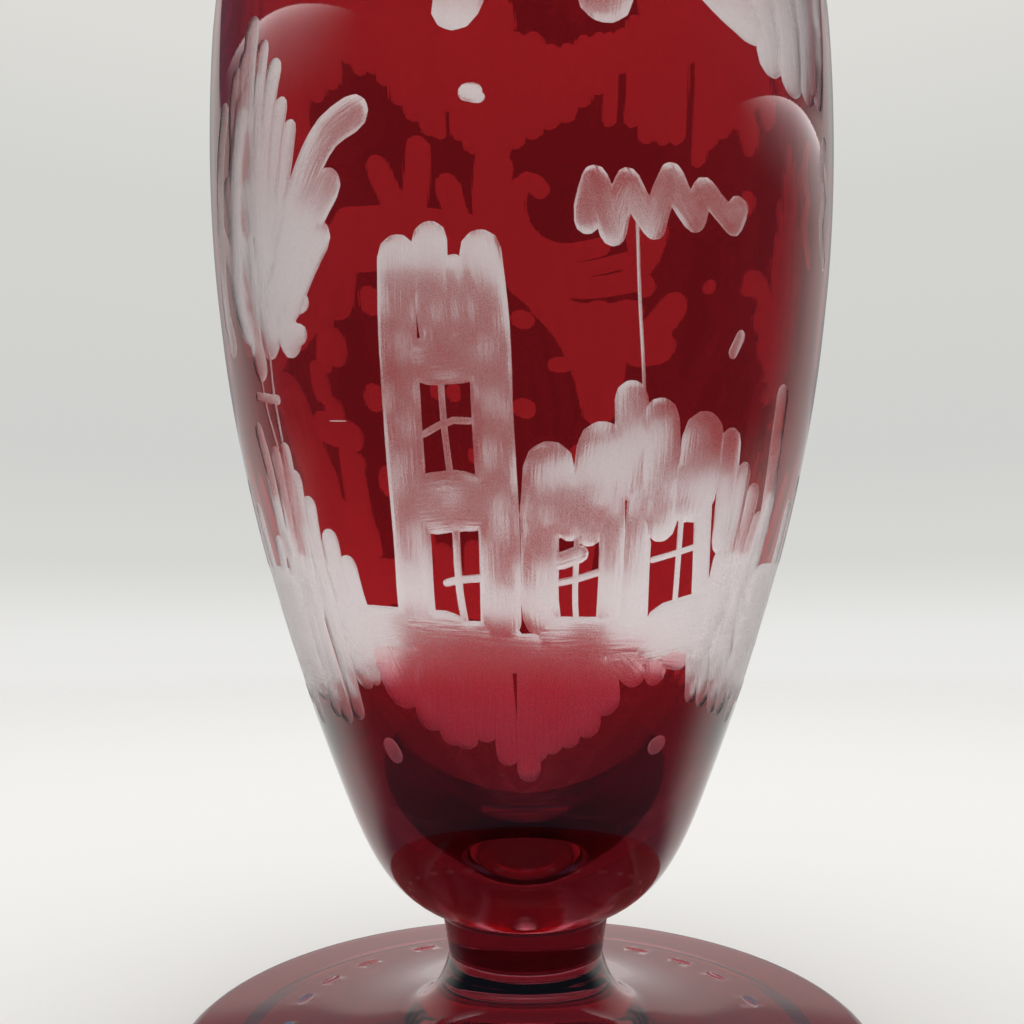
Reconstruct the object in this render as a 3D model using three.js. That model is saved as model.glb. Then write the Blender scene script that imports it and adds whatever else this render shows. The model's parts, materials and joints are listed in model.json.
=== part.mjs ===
// A ruby-flashed bud vase, blown and joined hot from three gathers of glass.
// A clear bowl with a thick base runs up into a shoulder, a narrow neck and a flared lip.
// A short stem joins it to a round foot with a hollowed underside.
// Each gather carries its own thin outer layer of ruby glass, which the wheel engraving cuts through.
// Millimetres, +Z up, with the origin where the axis meets the surface that the vase stands on.

import * as THREE from 'three';

// Overall sizes
const VASE_HEIGHT = 200;
const BODY_RADIUS = 37;
const FOOT_RADIUS = 38;

// Foot: its rim, the height of its joint with the stem, and where the cove to that joint starts
const FOOT_RIM_THICKNESS = 2.8;
const FOOT_RIM_ROUNDING = 1.2;
const FOOT_JOINT_HEIGHT = 10.5;
const COVE_START_RADIUS = 16;
const COVE_START_HEIGHT = 3.7;

// Foot underside: a flat ring to stand on, a shallow hollow, and the polished-out pontil scar
const RESTING_RING_WIDTH = 4.8;
const HOLLOW_DEPTH = 0.9;
const HOLLOW_SLOPE_WIDTH = 2;
const PONTIL_RADIUS = 10;
const PONTIL_DEPTH = 1.5;

// Stem
const STEM_LENGTH = 4.4;
const STEM_FOOT_RADIUS = 8.7;
const STEM_BOWL_RADIUS = 9.5;

// Bowl: the turn from its rounded base into the wall, the widest ring, the neck and the lip
const BASE_TURN_RADIUS = 20.15;
const BASE_TURN_RISE = 12.9;
const WIDEST_HEIGHT = 108;
const NECK_RADIUS = 10.5;
const NECK_BELOW_LIP = 29;
const LIP_RADIUS = 20;

// How far the shoulder's turn lies from the widest ring to the neck, in height and in radius
const SHOULDER_TURN_RISE = 0.68;
const SHOULDER_TURN_DRAW_IN = 0.6;

// Glass thicknesses, and how far above the cavity floor the wall reaches its even thickness
const RUBY_THICKNESS = 0.3;
const WALL_THICKNESS = 2.5;
const SOLID_BASE_THICKNESS = 7.2;
const EVEN_WALL_RISE = 52;

// Lean of the outline, in degrees outward from upright
const COVE_TOP_LEAN = -11;
const STEM_FOOT_LEAN = 10;
const STEM_BOWL_LEAN = 14;
const BASE_FLARE_LEAN = 67;
const LOWER_WALL_LEAN = 22.2;
const SHOULDER_LEAN = -53.5;
const LIP_LEAN = 36;
const CAVITY_FLOOR_LEAN = 90;
const UPRIGHT = 0;

// Stretches of outline: the share of its length that keeps the lean of either end, and its facets
const FOOT_TOP = { fullness: [0.33, 0.33], steps: 1 };
const COVE = { fullness: [0.42, 0.38], steps: 5 };
const STEM_SIDE = { fullness: [0.35, 0.35], steps: 2 };
const BASE = { fullness: [0.33, 0.48], steps: 4 };
const WALL = { fullness: [0.29, 0.41], steps: 6 };
const SHOULDER = { fullness: [0.5, 0.34], steps: 5 };
const NECK = { fullness: [0.36, 0.42], steps: 4 };
const LIP = { fullness: [0.42, 0.3], steps: 4 };
const CAVITY_FLOOR = { fullness: [0.24, 0.3], steps: 7 };

// Facets round the axis, and in each rounded edge
const STEPS_ROUND = 48;
const RIM_ROUNDING_STEPS = 2;
const LIP_ROUNDING_STEPS = 10;
const PONTIL_STEPS = 2;

// Finishes of the clear glass and of the ruby layer
const CLEAR_GLASS = { color: 0xe9eef0, roughness: 0.03, metalness: 0, transparent: true, opacity: 0.4 };
const RUBY_GLASS = { color: 0x7d0d18, roughness: 0.03, metalness: 0, transparent: true, opacity: 0.75 };

// The rim's rounding stays within its thickness
const RIM_ROUNDING_LIMIT = 0.45;
const rimRounding = Math.min(FOOT_RIM_ROUNDING, RIM_ROUNDING_LIMIT * FOOT_RIM_THICKNESS);

// Heights that follow from the sizes above
const bowlJointHeight = FOOT_JOINT_HEIGHT + STEM_LENGTH;
const cavityFloorHeight = bowlJointHeight + SOLID_BASE_THICKNESS;
const neckHeight = VASE_HEIGHT - NECK_BELOW_LIP;

function point(radius, height) {
  return new THREE.Vector2(radius, height);
}

function leaning(degrees) {
  const angle = THREE.MathUtils.degToRad(degrees);
  return point(Math.sin(angle), Math.cos(angle));
}

// A station is a place on an outline and the outline's lean there.
function station(radius, height, lean) {
  return { at: point(radius, height), lean };
}

// A smooth curve from one station to the next.
function sweep(lower, upper, fullness) {
  const reach = lower.at.distanceTo(upper.at);
  const leave = lower.at.clone().addScaledVector(leaning(lower.lean), reach * fullness[0]);
  const arrive = upper.at.clone().addScaledVector(leaning(upper.lean), -reach * fullness[1]);
  return new THREE.CubicBezierCurve(lower.at, leave, arrive, upper.at);
}

// Points along an outline through its stations, each with the outward normal of the surface there.
function traceOutline(stations, stretches) {
  const trace = [];
  stretches.forEach(({ fullness, steps }, index) => {
    const curve = sweep(stations[index], stations[index + 1], fullness);
    for (let step = index === 0 ? 0 : 1; step <= steps; step += 1) {
      const tangent = curve.getTangent(step / steps);
      trace.push({ at: curve.getPoint(step / steps), normal: point(tangent.y, -tangent.x) });
    }
  });
  return trace;
}

// The same outline at a depth below the surface.
function inset(trace, depth) {
  return trace.map(({ at, normal }) => at.clone().addScaledVector(normal, -depth));
}

// An end of an inset outline brought back to the level of the joint that it meets.
function levelEnd(end, depth) {
  return point(end.at.x - depth / end.normal.x, end.at.y);
}

function arc(centre, radius, startAngle, endAngle, steps) {
  const points = [];
  for (let step = 0; step <= steps; step += 1) {
    const angle = startAngle + ((endAngle - startAngle) * step) / steps;
    points.push(point(centre.x + radius * Math.cos(angle), centre.y + radius * Math.sin(angle)));
  }
  return points;
}

function turned(name, profile, finish) {
  const geometry = new THREE.LatheGeometry(profile, STEPS_ROUND);
  geometry.rotateX(Math.PI / 2);
  const mesh = new THREE.Mesh(geometry, new THREE.MeshStandardMaterial(finish));
  mesh.name = name;
  return mesh;
}

// A ruby layer: out along the surface of the piece and back along the clear glass under it.
function rubyLayer(name, surface, core) {
  return turned(name, [...surface, ...core.slice().reverse(), surface[0].clone()], RUBY_GLASS);
}

// The foot's underside, from the polished pontil scar at the axis out to the resting ring.
function footUnderside(ringOuterRadius) {
  const pontil = [];
  for (let step = 0; step <= PONTIL_STEPS; step += 1) {
    const share = step / PONTIL_STEPS;
    pontil.push(point(PONTIL_RADIUS * share, HOLLOW_DEPTH + PONTIL_DEPTH * (1 - share * share)));
  }
  const ringInnerRadius = ringOuterRadius - RESTING_RING_WIDTH;
  return [
    ...pontil,
    point(ringInnerRadius - HOLLOW_SLOPE_WIDTH, HOLLOW_DEPTH),
    point(ringInnerRadius, 0),
  ];
}

// The foot: a thin disc whose top rises in a cove to the stem.
function footPieces() {
  const flatRadius = FOOT_RADIUS - rimRounding;
  const topRise = point(COVE_START_RADIUS - flatRadius, COVE_START_HEIGHT - FOOT_RIM_THICKNESS);
  const topLean = THREE.MathUtils.radToDeg(Math.atan2(topRise.x, topRise.y));
  const trace = traceOutline([
    station(flatRadius, FOOT_RIM_THICKNESS, topLean),
    station(COVE_START_RADIUS, COVE_START_HEIGHT, topLean),
    station(STEM_FOOT_RADIUS, FOOT_JOINT_HEIGHT, COVE_TOP_LEAN),
  ], [FOOT_TOP, COVE]);

  // The ruby layer thins to nothing low on the rim, where the edge was ground and polished back
  const upperCentre = point(flatRadius, FOOT_RIM_THICKNESS - rimRounding);
  const lowerCentre = point(flatRadius, rimRounding);
  const coreRounding = rimRounding - RUBY_THICKNESS;
  const upperArc = arc(upperCentre, rimRounding, 0, Math.PI / 2, RIM_ROUNDING_STEPS);
  const coreArc = arc(upperCentre, coreRounding, 0, Math.PI / 2, RIM_ROUNDING_STEPS);
  const lowerArc = arc(lowerCentre, rimRounding, -Math.PI / 2, 0, RIM_ROUNDING_STEPS);
  const feather = lowerArc[lowerArc.length - 1];
  const surface = [feather, ...upperArc.slice(0, -1), ...trace.map(({ at }) => at)];
  const core = [feather, ...coreArc.slice(0, -1), ...inset(trace, RUBY_THICKNESS)];
  core[core.length - 1] = levelEnd(trace[trace.length - 1], RUBY_THICKNESS);

  const underside = [...footUnderside(flatRadius), ...lowerArc.slice(0, -1)];
  const profile = [...underside, ...core, point(0, FOOT_JOINT_HEIGHT)];
  return [turned('foot', profile, CLEAR_GLASS), rubyLayer('foot_ruby_flash', surface, core)];
}

// The stem: a short, slightly tapered button of glass between foot and bowl.
function stemPieces() {
  const trace = traceOutline([
    station(STEM_FOOT_RADIUS, FOOT_JOINT_HEIGHT, STEM_FOOT_LEAN),
    station(STEM_BOWL_RADIUS, bowlJointHeight, STEM_BOWL_LEAN),
  ], [STEM_SIDE]);
  const surface = trace.map(({ at }) => at);
  const core = inset(trace, RUBY_THICKNESS);
  core[0] = levelEnd(trace[0], RUBY_THICKNESS);
  core[core.length - 1] = levelEnd(trace[trace.length - 1], RUBY_THICKNESS);
  const profile = [point(0, FOOT_JOINT_HEIGHT), ...core, point(0, bowlJointHeight)];
  return [turned('stem', profile, CLEAR_GLASS), rubyLayer('stem_ruby_flash', surface, core)];
}

// The bowl's outline from the stem joint to the outer edge of the rounded lip.
function bowlOutline(lipEdge) {
  const shoulderTurnRadius = BODY_RADIUS + SHOULDER_TURN_DRAW_IN * (NECK_RADIUS - BODY_RADIUS);
  const shoulderTurnHeight = WIDEST_HEIGHT + SHOULDER_TURN_RISE * (neckHeight - WIDEST_HEIGHT);
  return traceOutline([
    station(STEM_BOWL_RADIUS, bowlJointHeight, BASE_FLARE_LEAN),
    station(BASE_TURN_RADIUS, bowlJointHeight + BASE_TURN_RISE, LOWER_WALL_LEAN),
    station(BODY_RADIUS, WIDEST_HEIGHT, UPRIGHT),
    station(shoulderTurnRadius, shoulderTurnHeight, SHOULDER_LEAN),
    station(NECK_RADIUS, neckHeight, UPRIGHT),
    station(lipEdge.x, lipEdge.y, LIP_LEAN),
  ], [BASE, WALL, SHOULDER, NECK, LIP]);
}

// The cavity, from its rounded floor up the wall to the neck, an even wall inside the outline.
function cavityOutline(outline) {
  const evenWall = outline.filter(({ at }) => at.y > cavityFloorHeight + EVEN_WALL_RISE);
  const wall = inset(evenWall, RUBY_THICKNESS + WALL_THICKNESS);
  const wallLean = THREE.MathUtils.radToDeg(Math.atan2(-evenWall[0].normal.y, evenWall[0].normal.x));
  const floor = sweep(
    station(0, cavityFloorHeight, CAVITY_FLOOR_LEAN),
    station(wall[0].x, wall[0].y, wallLean),
    CAVITY_FLOOR.fullness,
  );
  return [...floor.getPoints(CAVITY_FLOOR.steps), ...wall.slice(1, -1)];
}

// The bowl: solid base, wall of even thickness, shoulder, neck and rounded lip, open at the top.
function bowlPieces() {
  const lipRounding = (WALL_THICKNESS + RUBY_THICKNESS) / 2;
  const lipCentre = point(LIP_RADIUS - lipRounding, VASE_HEIGHT - lipRounding);
  const lipAngle = -THREE.MathUtils.degToRad(LIP_LEAN);
  const lip = arc(lipCentre, lipRounding, lipAngle, lipAngle + Math.PI, LIP_ROUNDING_STEPS);
  const outline = bowlOutline(lip[0]);
  const surface = outline.map(({ at }) => at);

  // The ruby layer thins to nothing at the lip, which is fire-polished clear glass
  const core = inset(outline, RUBY_THICKNESS);
  core[0] = levelEnd(outline[0], RUBY_THICKNESS);
  core[core.length - 1] = surface[surface.length - 1];

  const inside = cavityOutline(outline).reverse();
  const profile = [point(0, bowlJointHeight), ...core.slice(0, -1), ...lip, ...inside];
  return [turned('bowl', profile, CLEAR_GLASS), rubyLayer('bowl_ruby_flash', surface, core)];
}

const vase = new THREE.Group();
vase.name = 'bud_vase';
vase.add(...footPieces(), ...stemPieces(), ...bowlPieces());

export default vase;
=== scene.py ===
import json
import math

import bmesh
import bpy
import numpy as np
from mathutils import Matrix, Vector

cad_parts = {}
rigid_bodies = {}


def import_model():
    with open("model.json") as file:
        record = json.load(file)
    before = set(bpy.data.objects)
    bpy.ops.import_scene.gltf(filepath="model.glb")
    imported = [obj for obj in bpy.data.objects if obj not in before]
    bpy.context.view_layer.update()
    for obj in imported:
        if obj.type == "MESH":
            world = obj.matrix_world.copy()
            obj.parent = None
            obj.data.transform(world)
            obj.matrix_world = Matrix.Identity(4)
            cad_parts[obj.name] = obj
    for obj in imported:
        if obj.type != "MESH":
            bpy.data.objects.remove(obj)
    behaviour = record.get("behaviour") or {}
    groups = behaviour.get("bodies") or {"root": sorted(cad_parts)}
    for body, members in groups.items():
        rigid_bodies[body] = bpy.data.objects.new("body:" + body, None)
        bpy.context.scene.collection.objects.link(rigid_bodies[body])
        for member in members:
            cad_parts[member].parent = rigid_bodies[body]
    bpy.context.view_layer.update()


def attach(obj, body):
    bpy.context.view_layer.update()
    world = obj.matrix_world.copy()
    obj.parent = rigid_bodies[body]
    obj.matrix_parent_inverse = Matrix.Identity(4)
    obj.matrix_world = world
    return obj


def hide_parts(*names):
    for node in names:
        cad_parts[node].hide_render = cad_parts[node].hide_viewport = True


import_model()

# Bowl: a blown gather of clear glass under a thin ruby layer, with a solid base, an even wall,
# a narrow neck and a fire-polished lip. A wheel cuts the matte landscape through the ruby.
MM = 0.001
# Radius and height in mm and the outline's lean in degrees: at the joint with the stem, over the
# base, at the widest, on the shoulder and in the neck
STATIONS = [(9.5, 14.9, 67), (20.15, 27.8, 22.2), (37, 108, 0), (21.1, 150.84, -53.5), (10.5, 171, 0)]
FULLNESSES = [(0.33, 0.48), (0.29, 0.41), (0.5, 0.34), (0.36, 0.42), (0.42, 0.3)]
BANDS = [12, 42, 22, 10, 14]
LIP_RADIUS, VASE_HEIGHT, LIP_LEAN, LIP_BANDS = 20, 200, 36, 16
RUBY_AND_WALL = 2.8
SOLID_BASE_BANDS = 40
CAVITY_FLOOR_HEIGHT, CAVITY_FULLNESS, CAVITY_BANDS = 22.1, (0.24, 0.3), 26
INNER_STRIDE = 3
SEGMENTS = 192
RUBY, CLEAR, JOINT = 0, 1, 2


def leaning(degrees):
    """A direction in the outline, from straight up at 0 to outward at 90."""
    return np.array([math.sin(math.radians(degrees)), math.cos(math.radians(degrees))])


def sweep(lower, upper, fullness, steps):
    """Rows of radius, height and outward normal on a smooth curve from one station to the next."""
    start, end = np.array(lower[:2], float), np.array(upper[:2], float)
    reach = np.linalg.norm(end - start)
    leave = start + reach * fullness[0] * leaning(lower[2])
    arrive = end - reach * fullness[1] * leaning(upper[2])
    t = np.linspace(0, 1, steps + 1)[:, None]
    at = (1 - t) ** 3 * start + 3 * (1 - t) ** 2 * t * leave + 3 * (1 - t) * t ** 2 * arrive + t ** 3 * end
    along = (1 - t) ** 2 * (leave - start) + 2 * (1 - t) * t * (arrive - leave) + t ** 2 * (end - arrive)
    along /= np.linalg.norm(along, axis=1)[:, None]
    return np.column_stack([at, along[:, 1], -along[:, 0]])


def outline(stations, fullnesses, steps):
    """The rows of several sweeps, joined where they meet."""
    pieces = [sweep(stations[i], stations[i + 1], fullnesses[i], steps[i]) for i in range(len(steps))]
    return np.vstack([pieces[0]] + [piece[1:] for piece in pieces[1:]])


def arc(centre, radius, first, last, steps):
    """Points on a round stretch of an outline, from one angle to another in degrees."""
    angles = np.radians(np.linspace(first, last, steps + 1))
    return np.column_stack([centre[0] + radius * np.cos(angles), centre[1] + radius * np.sin(angles)])


def turned(name, profile, slots):
    """A closed solid of revolution, with a material slot for each band of its profile.

    The profile is in mm and starts and ends on the axis.
    """
    angles = np.arange(SEGMENTS) * 2 * math.pi / SEGMENTS
    circle = np.column_stack([np.cos(angles), np.sin(angles)])
    rings = profile[1:-1]
    points = [[[0, 0, profile[0][1]]]]
    points += [np.column_stack([radius * circle, np.full(SEGMENTS, height)]) for radius, height in rings]
    points += [[[0, 0, profile[-1][1]]]]
    points = np.vstack(points)
    here = np.arange(SEGMENTS)
    following = (here + 1) % SEGMENTS
    last = 1 + (len(rings) - 1) * SEGMENTS
    faces = [(0, 1 + b, 1 + a) for a, b in zip(here, following)]
    for ring in range(len(rings) - 1):
        low = 1 + ring * SEGMENTS
        high = low + SEGMENTS
        faces += [(low + a, low + b, high + b, high + a) for a, b in zip(here, following)]
    faces += [(last + a, last + b, len(points) - 1) for a, b in zip(here, following)]
    mesh = bpy.data.meshes.new(name)
    mesh.from_pydata((points * MM).tolist(), [], [tuple(int(c) for c in face) for face in faces])
    mesh.polygons.foreach_set("material_index", np.repeat(slots, SEGMENTS).astype(np.int32))
    mesh.polygons.foreach_set("use_smooth", [True] * len(faces))
    mesh.update()
    return mesh


lip_rounding = RUBY_AND_WALL / 2
lip_centre = (LIP_RADIUS - lip_rounding, VASE_HEIGHT - lip_rounding)
lip = arc(lip_centre, lip_rounding, -LIP_LEAN, 180 - LIP_LEAN, LIP_BANDS)
bowl_outline = outline(STATIONS + [(*lip[0], LIP_LEAN)], FULLNESSES, BANDS)
even_wall = bowl_outline[SOLID_BASE_BANDS:]
wall_inside = even_wall[:, :2] - RUBY_AND_WALL * even_wall[:, 2:]
wall_lean = math.degrees(math.atan2(-even_wall[0, 3], even_wall[0, 2]))
cavity_top = (*wall_inside[0], wall_lean)
cavity_floor = sweep((0, CAVITY_FLOOR_HEIGHT, 90), cavity_top, CAVITY_FULLNESS, CAVITY_BANDS)[:, :2]
inside = np.vstack([cavity_floor, wall_inside[INNER_STRIDE:-1:INNER_STRIDE]])[::-1]
bowl_profile = np.vstack([[0, STATIONS[0][1]], bowl_outline[:, :2], lip[1:], inside])
ruby_bands = len(bowl_outline) - 1
bowl_slots = [JOINT] + [RUBY] * ruby_bands + [CLEAR] * (len(bowl_profile) - ruby_bands - 2)
bowl_mesh = turned("bowl_glass", bowl_profile, bowl_slots)

# Each cut is given as it was read off the photograph, in its pixels: its width, then points
# along its path
# The tower: four upright cuts, and level ones over and under its window
TOWER = [
    (38, (396, 256), (397, 330), (401, 400), (406, 470), (412, 540), (415, 590), (417, 613)),
    (36, (429, 240), (431, 290), (437, 332)),
    (27, (453, 268), (457, 300), (463, 330)),
    (42, (480, 251), (486, 300), (490, 350), (492, 410), (495, 460), (498, 510), (500, 560), (501, 624)),
    (50, (428, 360), (446, 359), (466, 357)),
    (60, (431, 504), (446, 502), (460, 501)),
    (55, (455, 502), (475, 503)),
]
# The glazing bars of its two windows
TOWER_BARS = [
    (6.5, (441, 384), (444, 425), (450, 473)),
    (7, (424, 434), (440, 425), (455, 420), (470, 421)),
    (7.5, (456, 532), (458, 570), (461, 600), (468, 636)),
    (8, (447, 583), (458, 580), (484, 578)),
]
# The round-topped roofs beside it
ROOFS = [
    (52, (549, 468), (547, 500), (545, 518)),
    (50, (602, 448), (598, 480), (594, 500)),
    (34, (632, 399), (632, 440), (628, 482)),
    (38, (661, 420), (662, 450), (660, 485)),
    (42, (704, 439), (700, 470), (695, 495)),
    (20, (731, 443), (727, 490), (722, 540)),
    (34, (571, 488), (571, 524)),
    (30, (589, 495), (589, 531)),
    (32, (664, 480), (662, 510), (661, 523)),
    (24, (684, 475), (684, 508)),
    (17, (545, 562), (565, 560), (580, 554)),
]
# The walls under them
WALLS = [
    (38, (539, 505), (540, 560), (540, 600), (542, 618)),
    (26, (612, 500), (612, 560), (609, 617)),
    (25, (640, 500), (637, 545), (634, 590), (629, 622)),
    (8, (647, 543), (645, 580), (643, 630)),
    (17, (704, 482), (702, 540), (700, 590)),
]
# The glazing bars of their two windows
HOUSE_BARS = [
    (6, (577, 540), (575, 595), (577, 636)),
    (7, (559, 583), (577, 579), (599, 572)),
    (5.5, (681, 520), (678, 560), (675, 600)),
    (5.5, (652, 560), (676, 553), (694, 547)),
]
# The ground
GROUND = [
    (40, (352, 624), (400, 629), (448, 633)),
    (40, (664, 627), (690, 618), (715, 612)),
    (34, (650, 645), (675, 640), (705, 636)),
]
# The turf over the bush
TURF = [
    (38, (425, 641), (470, 641), (505, 644)),
    (38, (556, 637), (600, 637), (640, 636)),
    (30, (505, 648), (530, 650), (556, 648)),
    (26, (378, 657), (430, 662), (500, 662)),
    (26, (490, 660), (560, 658), (650, 652)),
]
# The bush that hangs below the ground
BUSH = [
    (34, (392, 663), (403, 687)),
    (31, (427, 668), (432, 714)),
    (27, (447, 667), (453, 732)),
    (27, (464, 667), (466, 736)),
    (24, (486, 664), (486, 731)),
    (23, (500, 664), (508, 755)),
    (24, (529, 665), (529, 771)),
    (22, (538, 664), (538, 751)),
    (24, (551, 664), (552, 743)),
    (24, (566, 666), (569, 737)),
    (26, (585, 668), (588, 725)),
    (29, (603, 667), (606, 701)),
    (28, (622, 662), (634, 674)),
    (21, (655, 662), (655, 673)),
    (26, (668, 655), (680, 657)),
]
# The smoke over the roofs, one cut for each turn, and the line up to it
ZIGZAG = [
    (26, (587, 221), (587, 204), (594, 180)),
    (27, (595, 179), (605, 205), (613, 232)),
    (27, (613, 232), (619, 205), (628, 182)),
    (25, (628, 181), (640, 205), (654, 226)),
    (25, (654, 226), (661, 200), (671, 177)),
    (25, (672, 177), (681, 198), (694, 218)),
    (24, (695, 218), (698, 205), (704, 191)),
    (20, (706, 190), (718, 206), (732, 223)),
    (22, (733, 222), (738, 210)),
    (19, (738, 208), (742, 208)),
]
ZIGZAG_LINE = [
    (3.6, (637, 210), (640, 300), (644, 380), (645, 436)),
]
# Single short marks
SKY_MARKS = [
    (9, (741, 336), (734, 344), (733, 353)),
    (19, (467, 92), (473, 92)),
    (12, (470, 89), (475, 89)),
    (12, (473, 97), (479, 97)),
    (13, (391, 747), (395, 754)),
    (13, (655, 746), (658, 744)),
    (1.1, (330, 421), (338, 420.6), (346, 421)),
]
# Leaves that hang from the shoulder
TOP_PETALS = [
    (48, (455, 6), (467, -22), (477, -55)),
    (57, (605, -6), (606, -40), (600, -72)),
]
WING = [
    (34, (750, 22), (727, 0), (700, -30)),
    (25, (771, 56), (768, 15), (755, -30)),
    (22, (792, 75), (790, 30), (780, -20)),
    (16, (808, 90), (807, 40), (800, -10)),
    (12, (818, 99), (819, 50), (815, 0)),
    (18, (813, 80), (812, 40), (808, -15)),
    (11, (799, 70), (797, 30), (790, -15)),
    (9, (824, 146), (821, 168), (823, 192)),
    (9, (824, 200), (821, 228), (823, 262)),
]
# The feathered tree on the left with its thin trunk, and the grass below it
LEFT_TREE = [
    (14, (252, 31), (249, 65), (247, 110), (251, 180), (260, 250), (264, 320)),
    (12, (262, 51), (259, 85), (256, 130), (258, 200), (266, 280)),
    (13, (274, 70), (268, 110), (264, 150), (263, 210), (268, 290)),
    (13, (280, 108), (275, 150), (271, 200), (270, 270)),
    (13, (289, 130), (285, 165), (279, 210), (274, 270)),
    (27, (351, 114), (328, 131), (312, 158), (300, 190), (288, 230), (278, 280)),
    (27, (325, 187), (311, 216), (297, 250), (284, 290)),
    (26, (316, 239), (302, 270), (290, 305)),
    (19, (302, 303), (286, 308), (272, 312)),
    (20, (300, 335), (284, 332), (270, 326)),
    (22, (291, 341), (284, 324)),
    (19, (270, 342), (266, 318)),
    (14, (261, 368), (256, 345), (254, 315)),
    (12, (236, 80), (233, 120), (239, 190), (250, 260), (258, 320)),
    (10, (244, 60), (240, 100), (244, 160), (251, 230)),
    (12, (227, 189), (233, 220), (242, 260), (252, 310)),
    (11, (221, 230), (229, 260), (240, 300), (250, 335)),
    (22, (285, 255), (272, 300)),
    (18, (241, 105), (236, 150), (234, 220), (238, 290), (248, 325)),
    (14, (224, 118), (220, 170), (221, 240), (226, 310), (233, 345)),
]
LEFT_TRUNK = [
    (2.6, (261, 378), (267, 410), (278, 448)),
    (2.6, (269, 350), (274, 395), (282, 440)),
    (9, (258, 397), (270, 399), (278, 400)),
]
LEFT_GRASS = [
    (10, (259, 432), (268, 465), (278, 510), (286, 550)),
    (10, (276, 456), (284, 490), (292, 540)),
    (11, (285, 453), (291, 485), (298, 530), (303, 580)),
    (13, (295, 482), (300, 515), (308, 560), (318, 610)),
    (14, (309, 508), (314, 540), (323, 580), (336, 630)),
    (16, (330, 541), (336, 570), (345, 610), (355, 650)),
    (17, (348, 567), (356, 598), (366, 628), (372, 652)),
    (13, (320, 580), (332, 620), (346, 665), (357, 709)),
    (16, (342, 610), (352, 645), (365, 677)),
    (12, (374, 645), (375, 678)),
    (12, (308, 580), (320, 625), (334, 670), (346, 712)),
    (12, (298, 560), (309, 610), (323, 660), (336, 706)),
    (11, (288, 540), (298, 590), (310, 640), (322, 690)),
    (10, (280, 545), (290, 595), (300, 635), (310, 670)),
    (24, (350, 630), (368, 655)),
]
# The grass on the right
RIGHT_GRASS = [
    (13, (744, 473), (738, 510), (731, 550), (722, 600)),
    (12, (753, 494), (746, 525), (738, 560), (730, 600)),
    (13, (769, 500), (761, 535), (750, 575), (738, 620)),
    (14, (757, 525), (745, 570), (733, 615), (722, 660)),
    (14, (740, 560), (729, 605), (716, 655)),
    (17, (722, 560), (712, 605), (700, 655)),
    (16, (706, 590), (700, 625), (692, 655)),
    (12, (692, 650), (691, 694)),
    (12, (704, 640), (702, 697)),
    (12, (717, 640), (713, 702)),
    (12, (729, 625), (720, 704)),
    (11, (741, 610), (731, 690)),
    (10, (751, 595), (741, 670)),
    (9, (760, 575), (750, 640)),
    (13, (783, 397), (777, 440), (770, 490), (763, 530)),
]
# The garland's hanging leaves on the far side
FAR_FOLIAGE = [
    (30, (280, -20), (279, 88)),
    (30, (300, -20), (299, 82)),
    (26, (318, -20), (317, 74)),
    (24, (336, -20), (336, 50)),
    (20, (350, -20), (349, 66)),
    (24, (364, -20), (364, 62)),
    (22, (377, -10), (376, 76)),
    (22, (391, -10), (391, 96)),
    (24, (406, -10), (407, 112)),
    (22, (421, -10), (424, 128)),
    (16, (434, 0), (435, 135)),
    (22, (446, 0), (444, 104)),
    (20, (456, 0), (456, 134)),
    (24, (473, 0), (471, 146)),
    (36, (497, 22), (494, 150)),
    (26, (516, 50), (514, 140)),
    (26, (534, 50), (533, 130)),
    (26, (552, 62), (551, 120)),
    (24, (570, 60), (569, 114)),
    (24, (587, 52), (586, 98)),
    (22, (603, 48), (602, 86)),
    (16, (614, 44), (614, 122)),
    (22, (628, 44), (626, 64)),
    (20, (641, 30), (639, 120)),
    (24, (656, 0), (655, 134)),
    (24, (672, 0), (673, 135)),
    (18, (686, 0), (687, 138)),
    (22, (698, -10), (698, 54)),
    (20, (709, 0), (711, 158)),
    (22, (725, 0), (724, 138)),
    (24, (741, 10), (740, 124)),
    (24, (757, 10), (755, 112)),
    (22, (771, 20), (769, 100)),
    (18, (783, 30), (781, 90)),
]
# The scroll on the far side, with its beads, shrubs and ground
FAR_SCROLL = [
    (36, (494, 140), (489, 175), (488, 215), (500, 250)),
    (26, (370, 174), (381, 196), (396, 222)),
    (28, (413, 154), (411, 185), (408, 215)),
    (26, (444, 190), (451, 212), (462, 238)),
    (60, (345, 243), (400, 240), (460, 246), (500, 258)),
    (44, (322, 300), (326, 265), (340, 240)),
    (18, (311, 372), (312, 335), (317, 300)),
    (20, (541, 193), (530, 184), (518, 194), (517, 217), (532, 243), (562, 256), (606, 250)),
    (16, (506, 170), (501, 205), (510, 238), (535, 263), (575, 273), (632, 263)),
    (24, (488, 235), (506, 262), (545, 286), (590, 292), (640, 284)),
    (30, (520, 285), (545, 306), (575, 322), (610, 324), (636, 320)),
    (40, (545, 305), (572, 335), (592, 375), (603, 415)),
    (40, (600, 325), (612, 355), (610, 385), (604, 418)),
    (26, (630, 318), (627, 345), (616, 368)),
    (20, (640, 200), (640, 225), (645, 262)),
    (26, (664, 238), (656, 258), (640, 276)),
    (24, (650, 288), (653, 291)),
    (32, (681, 314), (662, 338), (645, 352)),
    (34, (668, 357), (645, 360)),
]
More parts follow.
